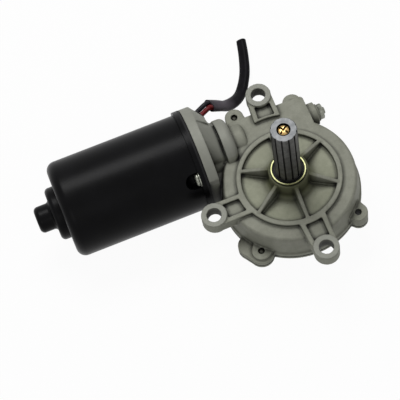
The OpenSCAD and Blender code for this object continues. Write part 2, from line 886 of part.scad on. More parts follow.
module worm_wheel() {
    web_hole_r = 5;
    web_mid_r = (wheel_hub_r + wheel_root_r - 3) / 2;
    color("#e8e4d4") difference() {
        union() {
            difference() {
                wheel_rim();
                disc(wheel_root_r - 3, wheel_bottom_z - 1, wheel_top_z + 1);
            }
            disc(wheel_root_r - 2, motor_z - web_t / 2, motor_z + web_t / 2);
            disc(wheel_hub_r, wheel_hub_bottom_z, wheel_hub_top_z);
        }
        disc(shaft_r, wheel_hub_bottom_z - 1, wheel_hub_top_z + 1);
        for (i = [0:web_holes - 1]) rotate(i * 360 / web_holes)
            translate([web_mid_r, 0, 0])
                disc(web_hole_r, wheel_bottom_z, wheel_top_z);
    }
}

module thrust_washer() {
    color("#c9a24a") tube(washer_r, journal_r + 0.1, wheel_hub_top_z, washer_z);
}

module retaining_clip() {
    color("#4a4b4d") difference() {
        tube(shaft_r + 2.2, shaft_r - 0.8, clip_z - clip_t, clip_z);
        translate([0, -2.5, clip_z - clip_t - 1]) cube([shaft_r + 4, 5, clip_t + 2]);
    }
}

// Armature and what turns with it

function thread_fade(a) = min(1, 0.1 + (worm_turns * 180 - abs(a)) / 100);
function thread_ring(a) =
    let (
        x = tooth_pitch * a / 360,
        foot = worm_root_r - 0.5,
        tip = worm_root_r + (worm_tip_r - worm_root_r) * thread_fade(a),
        foot_w = half_width(foot - worm_pitch_r),
        tip_w = half_width(tip - worm_pitch_r)
    )
    [for (c = [[foot, -foot_w], [tip, -tip_w], [tip, tip_w], [foot, foot_w]])
        [-c[0] * sin(a), c[0] * cos(a), x + c[1]]];

module worm_thread() {
    step = 15;
    sides = 4;
    count = worm_turns * 360 / step;
    points = [for (i = [0:count]) each thread_ring(i * step - worm_turns * 180)];
    side_faces = [
        for (i = [0:count - 1], k = [0:sides - 1])
            let (a = i * sides + k, b = i * sides + (k + 1) % sides)
            [a, b, b + sides, a + sides]
    ];
    start_cap = [for (k = [sides - 1:-1:0]) k];
    end_cap = [for (k = [0:sides - 1]) count * sides + k];
    polyhedron(points, concat([start_cap, end_cap], side_faces), convexity = 12);
}

module armature_shaft() {
    color("#9a9ca0") on_motor() {
        rotate_extrude() polygon([
            [0, rotor_end_x],
            [rotor_journal_r, rotor_end_x],
            [rotor_journal_r, rotor_rear_x],
            [rotor_shaft_r, rotor_rear_x],
            [rotor_shaft_r, -thread_half - 3],
            [worm_root_r, -thread_half - 3],
            [worm_root_r, thread_half + 3],
            [rotor_journal_r, thread_half + 3],
            [rotor_journal_r, rotor_tip_x],
            [0, rotor_tip_x]
        ]);
        worm_thread();
    }
}

module armature_core() {
    color("#6d6f72") on_motor() translate([0, 0, core_rear_x])
        linear_extrude(core_len) difference() {
            circle(core_r);
            circle(rotor_shaft_r);
            for (i = [0:slot_count - 1]) rotate(i * 360 / slot_count) {
                translate([core_r - 7, 0]) circle(2.7);
                translate([core_r - 7, -0.9]) square([8, 1.8]);
            }
        }
}

module armature_windings() {
    color("#a8612f") on_motor() {
        for (x = [[core_front_x, core_front_x + winding_front],
            [core_rear_x - winding_rear, core_rear_x]])
            tube(core_r - 2.6, rotor_shaft_r + fit_gap, x[0], x[1]);
        for (i = [0:slot_count - 1]) rotate(i * 360 / slot_count)
            translate([core_r - 7, 0, 0])
                disc(2.6, core_rear_x - 1, core_front_x + 1);
    }
}

module commutator() {
    color("#b06a3a") on_motor() difference() {
        union() {
            tube(commutator_r, rotor_shaft_r, commutator_rear_x, commutator_front_x);
            tube(commutator_r + 1.6, rotor_shaft_r, commutator_rear_x, commutator_rear_x + 1.6);
        }
        for (i = [0:slot_count - 1]) rotate(i * 360 / slot_count)
            translate([commutator_r - 1.2, -0.3, commutator_rear_x - 1])
                cube([4, 0.6, commutator_len + 2]);
    }
}

// Motor can and what is fixed in it

// The can's outline as a revolved profile, drawn in by an inset
module can_profile(inset) {
    r = can_r - inset;
    rear = can_rear_x + inset;
    edge = can_round - inset;
    disc_r = rear_disc_r - inset;
    disc_x = rear_disc_x + inset;
    nub = nub_r - inset;
    end = nub_x + inset;
    small = 3 - inset;
    translate([0, rear + edge]) square([r, rim_front_x - rear - edge]);
    translate([0, rear]) square([r - edge, edge + 1]);
    translate([r - edge, rear + edge]) circle(edge);
    translate([0, disc_x + small]) square([disc_r, rear - disc_x - small + 1]);
    translate([0, disc_x]) square([disc_r - small, small + 1]);
    translate([disc_r - small, disc_x + small]) circle(small);
    translate([0, end + small]) square([nub, disc_x - end - small + 1]);
    translate([0, end]) square([nub - small, small + 1]);
    translate([nub - small, end + small]) circle(small);
}

module dimple(r, extra) {
    can_screw_places() {
        disc(r, rim_back_x - dimple_len, rim_back_x + extra);
        translate([0, 0, rim_back_x - dimple_len]) sphere(r);
    }
}

module motor_can() {
    color("#17181a") difference() {
        union() {
            difference() {
                on_motor() rotate_extrude() {
                    can_profile(0);
                    translate([0, rim_back_x]) square([rim_r, rim_t]);
                    // Root of the nub, rounded
                    translate([nub_r, rear_disc_x]) difference() {
                        translate([-1, -2]) square([3, 2 + eps]);
                        translate([2, -2]) circle(2);
                    }
                }
                on_motor() rotate_extrude() {
                    can_profile(can_wall);
                    translate([0, rim_back_x - 10]) square([can_r - can_wall, 20]);
                }
            }
            intersection() {
                dimple(dimple_r + can_wall * 0.7, rim_t);
                on_motor() disc(can_r, rim_back_x - 30, rim_front_x);
            }
        }
        intersection() {
            dimple(dimple_r, 0);
            on_motor() disc(can_r + 10, rim_back_x - 30, rim_back_x);
        }
        can_screw_places() disc(can_screw_d / 2 + 0.2, rim_back_x - 1, rim_front_x + 1);
    }
}

module motor_gasket() {
    color("#101112") difference() {
        on_motor() tube(rim_r, chamber_r, rim_front_x, flange_x);
        can_screw_places() disc(can_screw_d / 2 + 0.2, rim_front_x - 1, flange_x + 1);
    }
}

module can_screws() {
    color("#d3d5d6") can_screw_places() {
        disc(can_head_d / 2, rim_back_x - can_head_h, rim_back_x);
        disc(can_screw_d / 2, rim_back_x - 1, flange_x + can_screw_grip - 0.2);
    }
}

module magnets() {
    color("#3a3b3e") on_motor() difference() {
        tube(magnet_out_r, magnet_in_r, magnet_rear_x, magnet_front_x);
        at_angle(can_screw_angle)
            translate([-11, -magnet_out_r - 1, magnet_rear_x - 1])
                cube([22, 2 * magnet_out_r + 2, magnet_front_x - magnet_rear_x + 2]);
    }
}

module rear_bush() {
    color("#b08d57") on_motor()
        tube(nub_bore_r, rotor_journal_r + running_gap, rear_bush_x, rear_bush_x + rear_bush_len);
}

module thrust_pad() {
    color("#dedbd0") on_motor() disc(rotor_journal_r, nub_floor_x, nub_floor_x + pad_t);
}

module front_bush() {
    color("#b08d57") on_motor()
        tube(front_bush_r, rotor_shaft_r + running_gap, front_bush_x, front_bush_x + front_bush_len);
}

module end_bush() {
    color("#b08d57") on_motor()
        tube(end_bush_r, rotor_journal_r + running_gap, end_bush_x, end_bush_x + end_bush_len);
}

// Brush gear

module brush_places() {
    for (a = [brush_angle, brush_angle + 180]) on_motor() at_angle(a) children();
}

module brush_plate() {
    color("#5a3b22") {
        on_motor() tube(chamber_r - fit_gap, commutator_r + 2, plate_x, plate_x + plate_thick);
        brush_places() difference() {
            translate([-brush_w / 2 - holder_wall, holder_in_r, brush_x - holder_wall])
                cube([brush_w + 2 * holder_wall, holder_out_r - holder_in_r,
                    plate_x + 1 - brush_x + holder_wall]);
            translate([-brush_w / 2 - fit_gap, holder_in_r - 1, brush_x - fit_gap])
                cube([brush_w + 2 * fit_gap, holder_out_r - holder_in_r + 1 - holder_end_t,
                    brush_len + 2 * fit_gap]);
        }
    }
}

module brushes() {
    color("#2e2e30") brush_places()
        translate([-brush_w / 2, brush_in_r, brush_x])
            cube([brush_w, brush_out_r - brush_in_r, brush_len]);
}

// Each spring sits between its brush and the closed end of the holder
module brush_springs() {
    length = holder_out_r - holder_end_t - brush_out_r;
    color("#a9abad") brush_places() translate([0, brush_out_r, brush_x + brush_len / 2])
        rotate([-90, 0, 0]) coil(spring_r, spring_wire_r, length, 5);
}

// A round wire wound into a coil along z
module coil(r, wire_r, length, turns) {
    steps = turns * 12;
    sides = 5;
    points = [
        for (i = [0:steps])
            let (
                a = 360 * turns * i / steps,
                z = wire_r + (length - 2 * wire_r) * i / steps
            )
            for (k = [0:sides - 1])
                let (b = 360 * k / sides)
                [(r + wire_r * cos(b)) * cos(a), (r + wire_r * cos(b)) * sin(a),
                    z + wire_r * sin(b)]
    ];
    side_faces = [
        for (i = [0:steps - 1], k = [0:sides - 1])
            let (a = i * sides + k, b = i * sides + (k + 1) % sides)
            [a, b, b + sides, a + sides]
    ];
    start_cap = [for (k = [sides - 1:-1:0]) k];
    end_cap = [for (k = [0:sides - 1]) steps * sides + k];
    polyhedron(points, concat([start_cap, end_cap], side_faces), convexity = 8);
}

// Adjuster at the end of the worm

module thrust_ball() {
    color("#c4c6c8") on_motor() translate([0, 0, ball_x]) sphere(ball_r);
}

module adjusting_screw() {
    color("#b9bab4") on_motor() difference() {
        disc(adjuster_r, adjuster_start_x, adjuster_end_x);
        translate([-adjuster_r - 1, -0.6, adjuster_end_x - 1.4])
            cube([adjuster_d + 2, 1.2, 3]);
    }
}

module lock_nut() {
    color("#c9cac6") on_motor() difference() {
        translate([0, 0, nut_x])
            cylinder(h = nut_h, r = nut_flats / 2 / cos(30), $fn = 6);
        disc(adjuster_r, nut_x - 1, nut_end_x + 1);
    }
}

// Cable

module cable_grommet() {
    color("#1b1b1c") at_grommet() {
        disc(grommet_neck_r, -4.5, 1);
        disc(grommet_r, seat_gap, grommet_out);
    }
}

function grommet_point(side, out) =
    [grommet_x, grommet_y, motor_z]
        + out * [sin(cone_slope), cos(cone_slope), 0]
        + side * [-cos(cone_slope), sin(cone_slope), 0];

module lead(side) {
    into = tangent_at(smooth_route(sleeve_route, rings_per_step), 0);
    across = cross([0, 0, 1], into) / norm(cross([0, 0, 1], into));
    mouth = sleeve_route[0] + side * across;
    route = [
        grommet_point(side, grommet_out + fit_gap),
        grommet_point(side, grommet_out + 1),
        grommet_point(side, grommet_out + 2.5),
        mouth - 2.5 * into,
        mouth - into,
        mouth - fit_gap * into
    ];
    swept_tube(smooth_route(route, 2), lead_d, lead_d, lead_d, lead_d, 8);
}

module red_lead() color("#8f1f22") lead(-lead_gap / 2);

module black_lead() color("#141414") lead(lead_gap / 2);

module cable_sleeve() {
    color("#18171a") swept_tube(smooth_route(sleeve_route, rings_per_step),
        sleeve_mouth_w, sleeve_end_w, sleeve_t, sleeve_t, 12);
}

gear_housing();
cover_gasket();
rear_cover();
cover_screws();
lower_bush();
upper_bush();
shaft_seal();
output_shaft();
shaft_end_screw();
worm_wheel();
thrust_washer();
retaining_clip();
armature_shaft();
armature_core();
armature_windings();
commutator();
motor_can();
motor_gasket();
can_screws();
magnets();
rear_bush();
thrust_pad();
front_bush();
end_bush();
brush_plate();
brushes();
brush_springs();
thrust_ball();
adjusting_screw();
lock_nut();
cable_grommet();
red_lead();
black_lead();
cable_sleeve();
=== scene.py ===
import json
from math import cos, pi, radians, sin

import bmesh
import bpy
from mathutils import Matrix, Vector


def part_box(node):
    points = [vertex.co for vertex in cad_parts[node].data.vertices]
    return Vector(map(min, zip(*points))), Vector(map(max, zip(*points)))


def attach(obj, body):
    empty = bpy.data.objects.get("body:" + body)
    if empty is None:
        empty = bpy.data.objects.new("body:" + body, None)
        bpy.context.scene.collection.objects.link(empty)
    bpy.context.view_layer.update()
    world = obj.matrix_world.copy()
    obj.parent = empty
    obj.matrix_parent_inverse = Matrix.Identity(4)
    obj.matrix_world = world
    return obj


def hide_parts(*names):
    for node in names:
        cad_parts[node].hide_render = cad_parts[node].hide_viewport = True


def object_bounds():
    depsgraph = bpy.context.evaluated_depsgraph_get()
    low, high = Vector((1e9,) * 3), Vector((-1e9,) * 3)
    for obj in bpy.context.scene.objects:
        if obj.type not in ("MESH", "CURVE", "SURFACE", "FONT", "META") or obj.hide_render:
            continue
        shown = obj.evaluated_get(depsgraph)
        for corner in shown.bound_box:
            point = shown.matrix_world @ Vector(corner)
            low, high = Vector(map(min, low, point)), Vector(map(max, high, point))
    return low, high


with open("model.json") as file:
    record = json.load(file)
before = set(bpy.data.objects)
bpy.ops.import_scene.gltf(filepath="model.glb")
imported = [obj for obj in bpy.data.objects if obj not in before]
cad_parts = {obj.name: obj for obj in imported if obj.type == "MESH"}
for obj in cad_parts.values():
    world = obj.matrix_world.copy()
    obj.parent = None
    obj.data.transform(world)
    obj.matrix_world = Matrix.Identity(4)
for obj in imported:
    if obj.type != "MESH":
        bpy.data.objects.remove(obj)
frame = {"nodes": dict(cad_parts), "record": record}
cad_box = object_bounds()
nodes = frame["nodes"]
MM = 0.001
WHITE = (1, 1, 1, 1)

# Camera: where the photograph was taken from
CAMERA_PLACE = Vector((-129.13, -456.14, 983.2)) * MM
CAMERA_AZIMUTH = radians(-8.98)
CAMERA_ELEVATION = radians(64.75)
CAMERA_ROLL = radians(13.18)
CAMERA_LENS_MM = 162.03
CAMERA_SENSOR_MM = 36

# Light: each lamp's place, size and watts, where they aim, and the strength of the world's light
LAMPS = {"key": ((-0.05, 0.62, 1.15), (0.7, 0.5), 10.2),
         "fill": ((-0.5, -0.9, 0.9), (0.6, 0.6), 1.3)}
LAMP_AIM = Vector((-0.04, 0.02, -0.02))
WORLD_LIGHT = 0.3

# Floor: just under the lowest point. The glow is how much of it shows as plain white, and the
# rest takes the object's shadow
FLOOR_LEVEL = cad_box[0].z - 0.02 * MM
FLOOR_HALF_WIDTH = 3
FLOOR_COLOUR = (0.8, 0.8, 0.8, 1)
FLOOR_GLOW = 0.955

# Cable sleeve: its centreline in metres and its flattened section. It starts to twist at a share
# of its length, and has its whole twist a third of its length later
SLEEVE_ROUTE = [Vector(p) * MM for p in (
    (-26, 72, -24), (-20, 74, -32), (-14, 76.5, -41), (-7, 81, -47.6), (-1.5, 86.5, -51.6),
    (3.5, 94, -52.6), (7.5, 102, -52.6), (11, 113, -52.6), (13.5, 123.7, -52.6))]
SLEEVE_STEPS = 6
SLEEVE_MOUTH_WIDTH = 9.4 * MM
SLEEVE_END_WIDTH = 6.4 * MM
SLEEVE_THICKNESS = 4.8 * MM
SLEEVE_WALL = 0.6 * MM
SLEEVE_LUMP = 2.6
SLEEVE_TWIST = radians(-32)
TWIST_START = 0.3
TWIST_RATE = 3

# Leads: side by side from the grommet into the sleeve, thinner and closer towards its end. They
# are at their thinnest some steps before it, and stand out of it by a share of a step
LEAD_DIAMETER = 3.2 * MM
LEAD_END_DIAMETER = 2.1 * MM
LEAD_GAP = 3.6 * MM
LEAD_END_GAP = 2.25 * MM
LEAD_STEPS = 4
LEAD_SIDES = 16
LEAD_TAPER_EARLY = 4
LEAD_STUB = 0.4
GROMMET_SLOPE = radians(52.8)
GROMMET_REACH = 3.1 * MM
IN_GROMMET = 2 * MM
OUT_OF_GROMMET = 1.6 * MM
BEFORE_MOUTH = 2.2 * MM
PAST_MOUTH = 1 * MM

# Merging: how close points lie that are one, in a node's copy and in a turned form
NODE_MERGE = 1e-6
TURNED_MERGE = 1e-7

# Castings: how finely their edges are rounded
CASTING_GRID = 0.4 * MM
CASTING_PASSES = 2
CASTING_EASE = 0.5
CASTING_THINNING = 0.28

# Neck: the cone from the flange's face to the collar, and the web and the corner block that
# close the wedge between flange, neck and case. Places are from the armature's axis
NECK_START_X = -41 * MM
NECK_END_X = -30 * MM
NECK_FOOT_R = 30.8 * MM
NECK_FOOT_FLAT = 0.698
NECK_FOOT_SHIFT = 8 * MM
NECK_TOP_R = 15.8 * MM
NECK_SEGMENTS = 96
NECK_BORE_R = 10.9 * MM
NECK_BORE_SEGMENTS = 64
WEB_SIZE = (7.5 * MM, 21 * MM, 4 * MM)
WEB_PLACE = Vector((NECK_START_X + 3.75 * MM, -16.5 * MM, 6.15 * MM))
WEB_FACING = (0, -0.7, 0.714)
CORNER_SIZE = (5.5 * MM, 14 * MM, 8 * MM)
CORNER_PLACE = Vector((-38.6, -19.6, 1.5)) * MM

# Shaft: the outline of the plain disc at its end, in mm from its axis and from its top
SHAFT_DISC = ((4.4, -1.2), (6.9, -1.2), (7.45, -0.5), (7.4, -0.02), (4.4, -0.02))
SHAFT_DISC_STEPS = 64

# Screws: the outline of a pan head, in shares of its radius and height, the shank's narrower
# point, and each kind's head, shank and cross recess, whose sizes are shares of the head. The
# washer's outline is in mm
PAN_HEAD = ((0.97, 0), (1, 0.08), (1, 0.3), (0.95, 0.58), (0.78, 0.84), (0.5, 0.96), (0, 1))
POINT_NARROWER = 0.7
POINT_LENGTH = 0.5 * MM
CROSS_DEPTH = 0.65
TIP_SCREW = {"head_r": 4.1 * MM, "head_h": 3 * MM, "shank_r": 2.2 * MM,
             "cross_length": 0.76, "cross_width": 0.15}
CAN_SCREW = {"head_r": 4.4 * MM, "head_h": 2.5 * MM, "shank_r": 2.5 * MM,
             "cross_length": 0.6, "cross_width": 0.17}
COVER_SCREW = {"head_r": 3.9 * MM, "head_h": 2.8 * MM, "shank_r": 2.2 * MM,
               "cross_length": 0.6, "cross_width": 0.17}
TIP_SCREW_LENGTH = 14 * MM
TIP_SCREW_SEAT = 2.1 * MM
TIP_SCREW_TURN = radians(35)
CAN_SCREW_TURN = radians(20)
WASHER = ((2.4, 0), (5.2, 0), (5.2, 0.49), (5, 0.7), (2.4, 0.7))
WASHER_THICKNESS = 0.7 * MM
COVER_SCREW_PLACES = ((-32.1 * MM, -31.6 * MM), (-14.2 * MM, 60.2 * MM), (23.3 * MM, 55.5 * MM))

# Adjuster: the ridges on the visible end of its stud, whose root and crest are shares of the
# pitch, its slot, whose length is in radii of the stud, and its nut
THREAD_RIDGES = 9
THREAD_PITCH = 0.8 * MM
THREAD_DEPTH = 0.3 * MM
THREAD_ROOT = 0.45
THREAD_CREST = 0.9
STUD_CHAMFER = 0.45 * MM
STUD_SLOT_LENGTH = 2.4
STUD_SLOT_WIDTH = 1.1 * MM
STUD_SLOT_DEPTH = 1.5 * MM
STUD_SLOT_TURN = radians(25)
NUT_FLATS = 8.6 * MM
NUT_SLACK = 0.05 * MM
NUT_FOOT_CHAMFER = 0.5 * MM
NUT_TOP_CHAMFER = 0.7 * MM
NUT_CHAMFER_HEIGHT = 0.4 * MM

# Finishes: where one surface gives way to the next, by distance from the output shaft's axis, by
# height, or along x
PAN_WALL = (29 * MM, 30 * MM)
PAN_DEPTH = (-11.5 * MM, -11 * MM)
EAR_FACES = (-10.3 * MM, -10.1 * MM)
FLANGE_RIM = (-0.3 * MM, -0.1 * MM)
# Painted shadow of the hub: within this reach of the output shaft's axis the casting's colour is
# darkened
HUB_SHADOW = (12 * MM, 18 * MM)
SHAFT_END = (52.3 * MM, 52.45 * MM)
# Painted sheen on the cable sleeve: where along x it fades in, and where it fades out
SHEEN_FROM = (-27 * MM, -20 * MM)
SHEEN_TO = (-16 * MM, -7 * MM)
# Samples of the ambient occlusion that paints shade into corners and holes
HOLLOW_SAMPLES = 16


# Forms


def as_object(name, form):
    """A bmesh made an object in the scene. The bmesh is used up."""
    mesh = bpy.data.meshes.new(name)
    form.to_mesh(mesh)
    form.free()
    made = bpy.data.objects.new(name, mesh)
    bpy.context.scene.collection.objects.link(made)
    return made


def piece(name, form, body, slot, replaced, finish=None, crisp=radians(38)):
    """Makes a bmesh a piece that rides on a body and stands for a node.

    Its finish is its record slot's, unless it has one of its own. Edges sharper than crisp stay
    sharp, and the rest is shaded smooth.
    """
    for edge in form.edges:
        edge.smooth = not edge.is_manifold or edge.calc_face_angle() < crisp
    made = as_object(name, form)
    made.data.materials.append(FINISHES[finish or slot])
    made.data.shade_smooth()
    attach(made, body)
    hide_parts(replaced)
    return made


def off_bench(*made):
    """The first loose object's form, with its modifiers applied. All of them are cleared away."""
    shown = made[0].evaluated_get(bpy.context.evaluated_depsgraph_get())
    form = bmesh.new()
    form.from_mesh(shown.to_mesh())
    shown.to_mesh_clear()
    for one in made:
        mesh = one.data
        bpy.data.objects.remove(one)
        bpy.data.meshes.remove(mesh)
    return form


def cut(form, *tools, operation="DIFFERENCE"):
    """The form with each tool cut out of it, or with only what both have."""
    made = as_object("bench", form)
    cutters = [as_object("bench", tool) for tool in tools]
    for cutter in cutters:
        step = made.modifiers.new("cut", "BOOLEAN")
        step.object, step.operation, step.solver = cutter, operation, "EXACT"
    return off_bench(made, *cutters)


def copied(node):
    """A node's mesh with its loose triangles joined."""
    form = bmesh.new()
    form.from_mesh(nodes[node].data)
    bmesh.ops.remove_doubles(form, verts=form.verts, dist=NODE_MERGE)
    return form


def softened(form):
    """The form with its edges rounded, as a mould and shot blasting leave them."""
    made = as_object("bench", form)
    skin = made.modifiers.new("skin", "REMESH")
    skin.mode, skin.voxel_size = "VOXEL", CASTING_GRID
    ease = made.modifiers.new("ease", "SMOOTH")
    ease.factor, ease.iterations = CASTING_EASE, CASTING_PASSES
    thin = made.modifiers.new("thin", "DECIMATE")
    thin.ratio = CASTING_THINNING
    return off_bench(made)


def turned(profile, steps=48, closed=False):
    """A form turned round z. The profile's points are (radius, height)."""
    form = bmesh.new()
    line = [form.verts.new((r, 0, z)) for r, z in profile]
    for a, b in zip(line, line[1:]):
        form.edges.new((a, b))
    if closed:
        form.edges.new((line[-1], line[0]))
    bmesh.ops.spin(form, geom=form.verts[:] + form.edges[:], axis=(0, 0, 1), cent=(0, 0, 0),
                   angle=2 * pi, steps=steps, use_merge=True)
    bmesh.ops.remove_doubles(form, verts=form.verts, dist=TURNED_MERGE)
    bmesh.ops.recalc_face_normals(form, faces=form.faces)
    return form


def block(size, place, turn=0.0):
    """A plain block that cuts or fills, turned round z."""
    form = bmesh.new()
    bmesh.ops.create_cube(form, size=1, matrix=Matrix.Rotation(turn, 4, "Z")
                          @ Matrix.Translation(place) @ Matrix.Diagonal((*size, 1)))
    return form


def placed(form, place, towards=(0, 0, 1), twist=0.0):
    """Moves a form made along z to its place, pointing the way given."""
    aim = Vector(towards).to_track_quat("Z", "Y").to_matrix().to_4x4()
    move = Matrix.Translation(place) @ aim @ Matrix.Rotation(twist, 4, "Z")
    bmesh.ops.transform(form, matrix=move, verts=form.verts)
    return form


def joined(forms):
    """Several forms in one mesh."""
    whole = bmesh.new()
    for form in forms:
        mesh = bpy.data.meshes.new("part")
        form.to_mesh(mesh)
        form.free()
        whole.from_mesh(mesh)
        bpy.data.meshes.remove(mesh)
    return whole


def smooth_curve(route, steps):
    """Points of a smooth curve through the route, steps of them to each stretch."""
    points = []
    last = len(route) - 1
    for i in range(last):
        a, b, c, d = (route[min(max(k, 0), last)] for k in (i - 1, i, i + 1, i + 2))
        for j in range(steps):
            t = j / steps
            points.append((2 * b + (c - a) * t + (2 * a - 5 * b + 4 * c - d) * t ** 2
                           + (3 * b - a - 3 * c + d) * t ** 3) / 2)
    return points + [route[last]]


def sideways(ahead):
    """The level direction across the way ahead."""
    return Vector((0, 0, 1)).cross(ahead).normalized()


# Shader maths


class Value:
    """A shader socket that plain signs work on. Each sum adds its Math node."""

    def __init__(self, graph, socket):
        self.graph = graph
        self.socket = socket

    def maths(self, operation, *numbers):
        return self.graph.node("ShaderNodeMath", {"operation": operation}, *numbers)

    def __add__(self, other):
        return self.maths("ADD", self, other)

    __radd__ = __add__

    def __sub__(self, other):
        return self.maths("SUBTRACT", self, other)

    def __rsub__(self, other):
        return self.maths("SUBTRACT", other, self)

    def __mul__(self, other):
        return self.maths("MULTIPLY", self, other)

    __rmul__ = __mul__

    def __or__(self, other):
        """The larger of the two."""
        return self.maths("MAXIMUM", self, other)

    def above(self, low, high):
        """0 below low, 1 above high, and a straight ramp between them."""
        return self.graph.node("ShaderNodeMapRange", {"clamp": True}, self, low, high, 0, 1)


class Graph:
    """A tree of shader nodes."""

    def __init__(self, tree):
        self.tree = tree

    def node(self, kind, settings=None, *values, out=0, **named):
        """Adds a node: its settings first, then values or links by place or name."""
        made = self.tree.nodes.new(kind)
        for name, value in (settings or {}).items():
            setattr(made, name, value)
        for key, value in [*enumerate(values), *named.items()]:
            if value is None:
                continue
            socket = made.inputs[key.replace("_", " ") if isinstance(key, str) else key]
            if isinstance(value, Value):
                self.tree.links.new(value.socket, socket)
            else:
                socket.default_value = value
        return Value(self, made.outputs[out]) if made.outputs else None

    def backdrop_rays(self):
        """1 where a surface is looked at, straight or in gloss or glass, and 0 where it lights."""
        straight, gloss, glass = (self.node("ShaderNodeLightPath", out=f"Is {kind} Ray")
                                  for kind in ("Camera", "Glossy", "Transmission"))
        return straight | gloss | glass


class Finish(Graph):
    """A material in the making, with its shader and the nodes that feed it."""

    def __init__(self, name, **constants):
        self.material = bpy.data.materials.new(name)
        self.material.use_nodes = True
        super().__init__(self.material.node_tree)
        self.shader = self.tree.nodes["Principled BSDF"]
        for socket, value in constants.items():
            self.shader.inputs[socket.replace("_", " ")].default_value = value
        self.place = self.node("ShaderNodeTexCoord", out="Object")

    def fed(self, **values):
        """The finished material, with these values linked to its shader."""
        for socket, value in values.items():
            self.tree.links.new(value.socket, self.shader.inputs[socket.replace("_", " ")])
        return self.material

    def noise(self, size, detail=2, rough=0.5):
        """Soft noise from 0 to 1 with blotches about size metres across."""
        return self.node("ShaderNodeTexNoise", {}, Vector=self.place, Scale=1 / size,
                         Detail=detail, Roughness=rough)

    def specks(self, apart, size):
        """1 in scattered round specks of that size, about apart metres from each other."""
        near = self.node("ShaderNodeTexVoronoi", {}, Vector=self.place, Scale=1 / apart)
        return 1 - near.above(size / apart * 0.5, size / apart)

    def along(self, axis):
        """A coordinate, in metres."""
        return self.node("ShaderNodeSeparateXYZ", {}, self.place, out=axis)

    def off_axis(self, near, far):
        """0 within near of the output shaft's axis, 1 beyond far."""
        x, y = self.along("X"), self.along("Y")
        return (x * x + y * y).above(near ** 2, far ** 2)

    def mix(self, kind, share, low, high):
        """Two colours mixed. A Mix node takes them at its seventh and eighth sockets."""
        return self.node("ShaderNodeMix", {"data_type": "RGBA", "blend_type": kind},
                         share, *[None] * 5, low, high, out=2)

    def blend(self, mask, low, high):
        """A colour between low and high."""
        return self.mix("MIX", mask, low, high)

    def tint(self, colour, shade):
        """A colour darkened by another."""
        return self.mix("MULTIPLY", 1.0, colour, shade)

    def painted_corner_shade(self, colour, shade, reach, low, high):
        """A colour with painted shade: darkened towards shade in corners and holes within reach of
        their walls.
        """
        openness = self.node("ShaderNodeAmbientOcclusion", {"samples": HOLLOW_SAMPLES},
                             Distance=reach, out=1)
        return self.tint(colour, self.blend(openness.above(low, high), shade, WHITE))

    def bump(self, height, depth, strength=1.0):
        return self.node("ShaderNodeBump", {}, Strength=strength, Distance=depth, Height=height)


def srgb(red, green, blue):
    """A colour as seen on a screen, from 0 to 255, made linear."""
    return tuple((c / 255 / 12.92) if c < 10.3 else ((c / 255 + 0.055) / 1.055) ** 2.4
                 for c in (red, green, blue)) + (1,)


# Finishes


def blasted_casting():
    """Die-cast alloy after shot blasting: fine grain, blotches, painted shade in corners, a
    painted shadow round the hub, machined faces.
    """
    f = Finish("cast_alloy", Metallic=0.25, Specular_IOR_Level=0.3)
    grain = f.noise(0.8 * MM, 4, 0.7)
    blotch = f.noise(8 * MM, 3, 0.55)
    streak = f.noise(2.4 * MM, 2, 0.5)
    height = f.along("Z")
    outside = f.off_axis(*PAN_WALL)
    pan = (1 - outside) * (1 - height.above(*PAN_DEPTH))
    machined = (height.above(*EAR_FACES) * outside) | height.above(*FLANGE_RIM)
    hub_shadow = 1 - f.off_axis(*HUB_SHADOW)
    tone = (blotch * 0.4 + streak * 0.2 + grain * 0.4).above(0.36, 0.64)
    colour = f.blend(tone, srgb(118, 119, 107), srgb(138, 139, 127))
    colour = f.blend(pan, colour, f.blend(tone, srgb(126, 128, 110), srgb(145, 147, 129)))
    colour = f.blend(machined * 0.6, colour, srgb(140, 141, 134))
    colour = f.blend(f.specks(11 * MM, 0.45 * MM), colour, srgb(58, 58, 50))
    # Painted shade: dark in corners, along the feet of ribs and in holes, and broader in the pan
    # and round the hub
    colour = f.painted_corner_shade(colour, srgb(30, 31, 20), 3 * MM, 0.56, 0.96)
    colour = f.painted_corner_shade(colour, srgb(58, 58, 46), 11 * MM, 0.3, 0.78)
    # Painted shadow of the hub: the colour darkens towards the output shaft's axis
    colour = f.tint(colour, f.blend(hub_shadow, WHITE, srgb(168, 170, 138)))
    pits = f.bump(grain + f.noise(0.22 * MM, 2) * 0.5, 0.06 * MM, 0.55)
    return f.fed(Base_Color=colour, Roughness=0.56 + grain * 0.12, Normal=pits)


def satin_paint():
    """Black paint on drawn steel: a soft gloss with a faint peel and a little dust."""
    f = Finish("can_paint", Specular_IOR_Level=0.065)
    peel = f.noise(1.2 * MM, 2, 0.5)
    blotch = f.noise(16 * MM, 3, 0.6)
    colour = f.blend(blotch.above(0.35, 0.7), srgb(5, 5, 6), srgb(10, 10, 12))
    colour = f.blend(f.specks(6 * MM, 0.3 * MM), colour, srgb(28, 28, 30))
    return f.fed(Base_Color=colour, Roughness=0.25 + blotch * 0.1 + peel * 0.05,
                 Normal=f.bump(peel, 0.02 * MM, 0.3))


def dark_steel():
    """The output shaft: darkened steel, with painted shade that makes it black in its grooves,
    paler on its cut end.
    """
    f = Finish("shaft_steel", Specular_IOR_Level=0.3)
    stain = f.noise(3 * MM, 3, 0.6)
    fine = f.noise(0.4 * MM, 3, 0.6)
    end = f.along("Z").above(*SHAFT_END)
    side_tone = (stain * 0.6 + fine * 0.4).above(0.38, 0.62)
    side_colour = f.blend(side_tone, srgb(74, 74, 72), srgb(102, 102, 101))
    end_colour = f.blend(stain.above(0.35, 0.65), srgb(136, 139, 141), srgb(170, 172, 174))
    colour = f.blend(end, side_colour, end_colour)
    # Painted shade: black in the grooves between the splines and in other corners
    colour = f.painted_corner_shade(colour, srgb(36, 36, 32), 1.6 * MM, 0.45, 0.92)
    return f.fed(Base_Color=colour, Metallic=0.85 - end * 0.65,
                 Roughness=0.36 + fine * 0.2 + end * 0.2, Normal=f.bump(fine, 0.03 * MM, 0.5))


